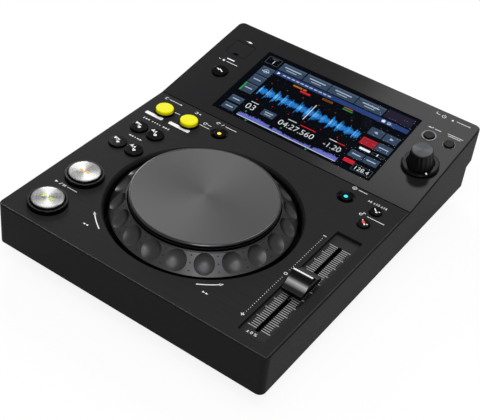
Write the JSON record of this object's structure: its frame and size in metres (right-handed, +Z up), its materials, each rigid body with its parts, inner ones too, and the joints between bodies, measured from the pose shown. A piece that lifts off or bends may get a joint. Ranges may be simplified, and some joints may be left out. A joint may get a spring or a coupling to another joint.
{
  "type": "media player",
  "caption": "Table-top DJ media player: jog wheel with a dimpled finger ring, tempo fader, lit push buttons, tilted touch screen, selector knob and rear jacks.",
  "frame": {"origin": "on the table under the middle of the case", "axes": "+Z up, the front with the play button faces -Y, +X to the user's right, the display panel is towards +Y"},
  "size_m": [0.232, 0.301, 0.074],
  "materials": {
    "case_plastic": "fine-textured matte black moulding",
    "deck_skin": "matte black with a fine hairline along X",
    "display_skin": "semi-gloss black, smooth",
    "pan_steel": "black powder coat",
    "foot_rubber": "matt black rubber",
    "screw_steel": "blackened steel",
    "well_plastic": "matte black moulding",
    "bearing_steel": "ground steel",
    "hub_plastic": "matte black moulding",
    "ring_paint": "satin dark grey with dimples",
    "plate_aluminium": "dark grey, brushed in circles",
    "sensor_film": "amber film",
    "component_black": "moulded component, matte black",
    "fader_skin": "matte black",
    "frame_steel": "zinc-plated sheet",
    "carriage_plastic": "natural white moulding",
    "cap_plastic": "satin black, silvery on its slopes",
    "disc_aluminium": "dark spun aluminium",
    "key_black": "gloss black",
    "loop_amber": "translucent amber, lit",
    "lamp_key": "gloss black with a lamp",
    "collar_gloss": "gloss black",
    "board_green": "green solder mask",
    "knob_plastic": "black, with a spun metal cap",
    "door_plastic": "gloss black",
    "socket_steel": "nickel-plated sheet",
    "glass": "clear touch glass with a dark border",
    "ribbon_film": "white film",
    "jack_block": "black block with nickel barrels"
  },
  "bodies": {
    "case": {"upper_case": "case_plastic", "display_housing": "case_plastic", "deck_panel": "deck_skin", "display_panel": "display_skin", "bottom_pan": "pan_steel", "feet": "foot_rubber", "screws": "screw_steel", "jog_base": "well_plastic", "jog_bearing": "bearing_steel", "encoder_sensor": "component_black", "fader_plate": "fader_skin", "fader_frame": "frame_steel", "button_collars": "collar_gloss", "tact_switches": "component_black", "left_board": "board_green", "right_board": "board_green", "usb_board": "board_green", "selector_board": "board_green", "main_board": "board_green", "selector_encoder": "frame_steel", "selector_ring": "collar_gloss", "usb_socket": "socket_steel", "touch_glass": "glass", "lcd_module": "frame_steel", "lcd_bracket": "frame_steel", "ribbon_cable": "ribbon_film", "rca_jacks": "jack_block", "lan_jack": "socket_steel", "usb_b_jack": "socket_steel", "dc_jack": "component_black", "power_switch": "component_black"},
    "jog_wheel": {"jog_shaft": "bearing_steel", "shaft_clip": "screw_steel", "jog_hub": "hub_plastic", "jog_ring": "ring_paint", "touch_sensor": "sensor_film", "encoder_wheel": "hub_plastic"},
    "jog_top": {"jog_plate": "plate_aluminium"},
    "fader": {"fader_carriage": "carriage_plastic", "fader_cap": "cap_plastic"},
    "selector_press": {"selector_plunger": "carriage_plastic"},
    "selector": {"selector_shaft": "bearing_steel", "selector_knob": "knob_plastic"},
    "usb_lid": {"usb_door": "door_plastic"},
    "power_key": {"power_button": "key_black"},
    "play_key": {"play_button": "disc_aluminium"},
    "cue_key": {"cue_button": "disc_aluminium"},
    "track_back_key": {"track_back_button": "key_black"},
    "track_next_key": {"track_next_button": "key_black"},
    "search_back_key": {"search_back_button": "key_black"},
    "search_next_key": {"search_next_button": "key_black"},
    "loop_in_key": {"loop_in_button": "loop_amber"},
    "loop_out_key": {"loop_out_button": "loop_amber"},
    "reloop_key": {"reloop_button": "lamp_key"},
    "vinyl_key": {"vinyl_button": "lamp_key"},
    "tempo_range_key": {"tempo_range_button": "key_black"},
    "master_tempo_key": {"master_tempo_button": "key_black"},
    "usb_stop_key": {"usb_stop_button": "key_black"},
    "back_key": {"back_button": "key_black"},
    "tag_key": {"tag_button": "key_black"}
  },
  "joints": [
    {"name": "jog_spin", "type": "hinge", "parent": "case", "child": "jog_wheel", "pos_m": [-0.0012, -0.0585, 0.049], "axis": [0, 0, 1], "continuous": true},
    {"name": "jog_top_press", "type": "slide", "parent": "jog_wheel", "child": "jog_top", "axis": [0, 0, 1], "range_m": [-0.0004, 0], "stiffness_N_per_m": 5000, "springref_m": 0.0005},
    {"name": "tempo_slide", "type": "slide", "parent": "case", "child": "fader", "axis": [0, 1, 0], "range_m": [-0.05, 0.05]},
    {"name": "selector_push", "type": "slide", "parent": "case", "child": "selector_press", "axis": [0, -0.1559, 0.9878], "range_m": [-0.0006, 0], "stiffness_N_per_m": 1500, "springref_m": 0.001},
    {"name": "selector_turn", "type": "hinge", "parent": "selector_press", "child": "selector", "pos_m": [0.0969, 0.08592, 0.05641], "axis": [0, -0.1559, 0.9878], "continuous": true},
    {"name": "usb_lid_hinge", "type": "hinge", "parent": "case", "child": "usb_lid", "pos_m": [-0.0943, 0.12677, 0.0622], "axis": [-1, 0, 0], "range_deg": [0, 100]},
    {"name": "power_press", "type": "slide", "parent": "case", "child": "power_key", "axis": [0, -1, 0], "range_m": [0, 0.0025], "stiffness_N_per_m": 400, "springref_m": -0.001},
    {"name": "play_press", "type": "slide", "parent": "case", "child": "play_key", "axis": [0, 0, 1], "range_m": [-0.0012, 0], "stiffness_N_per_m": 600, "springref_m": 0.001},
    {"name": "cue_press", "type": "slide", "parent": "case", "child": "cue_key", "axis": [0, 0, 1], "range_m": [-0.0012, 0], "stiffness_N_per_m": 600, "springref_m": 0.001},
    {"name": "track_back_press", "type": "slide", "parent": "case", "child": "track_back_key", "axis": [0, 0, 1], "range_m": [-0.0007, 0], "stiffness_N_per_m": 600, "springref_m": 0.001},
    {"name": "track_next_press", "type": "slide", "parent": "case", "child": "track_next_key", "axis": [0, 0, 1], "range_m": [-0.0007, 0], "stiffness_N_per_m": 600, "springref_m": 0.001},
    {"name": "search_back_press", "type": "slide", "parent": "case", "child": "search_back_key", "axis": [0, 0, 1], "range_m": [-0.0007, 0], "stiffness_N_per_m": 600, "springref_m": 0.001},
    {"name": "search_next_press", "type": "slide", "parent": "case", "child": "search_next_key", "axis": [0, 0, 1], "range_m": [-0.0007, 0], "stiffness_N_per_m": 600, "springref_m": 0.001},
    {"name": "loop_in_press", "type": "slide", "parent": "case", "child": "loop_in_key", "axis": [0, 0, 1], "range_m": [-0.001, 0], "stiffness_N_per_m": 600, "springref_m": 0.001},
    {"name": "loop_out_press", "type": "slide", "parent": "case", "child": "loop_out_key", "axis": [0, 0, 1], "range_m": [-0.001, 0], "stiffness_N_per_m": 600, "springref_m": 0.001},
    {"name": "reloop_press", "type": "slide", "parent": "case", "child": "reloop_key", "axis": [0, 0, 1], "range_m": [-0.0005, 0], "stiffness_N_per_m": 600, "springref_m": 0.001},
    {"name": "vinyl_press", "type": "slide", "parent": "case", "child": "vinyl_key", "axis": [0, 0, 1], "range_m": [-0.0005, 0], "stiffness_N_per_m": 600, "springref_m": 0.001},
    {"name": "tempo_range_press", "type": "slide", "parent": "case", "child": "tempo_range_key", "axis": [0, 0, 1], "range_m": [-0.0005, 0], "stiffness_N_per_m": 600, "springref_m": 0.001},
    {"name": "master_tempo_press", "type": "slide", "parent": "case", "child": "master_tempo_key", "axis": [0, 0, 1], "range_m": [-0.0005, 0], "stiffness_N_per_m": 600, "springref_m": 0.001},
    {"name": "usb_stop_press", "type": "slide", "parent": "case", "child": "usb_stop_key", "axis": [0, -0.1559, 0.9878], "range_m": [-0.0005, 0], "stiffness_N_per_m": 600, "springref_m": 0.001},
    {"name": "back_press", "type": "slide", "parent": "case", "child": "back_key", "axis": [0, -0.1559, 0.9878], "range_m": [-0.0005, 0], "stiffness_N_per_m": 600, "springref_m": 0.001},
    {"name": "tag_press", "type": "slide", "parent": "case", "child": "tag_key", "axis": [0, -0.1559, 0.9878], "range_m": [-0.0005, 0], "stiffness_N_per_m": 600, "springref_m": 0.001}
  ]
}
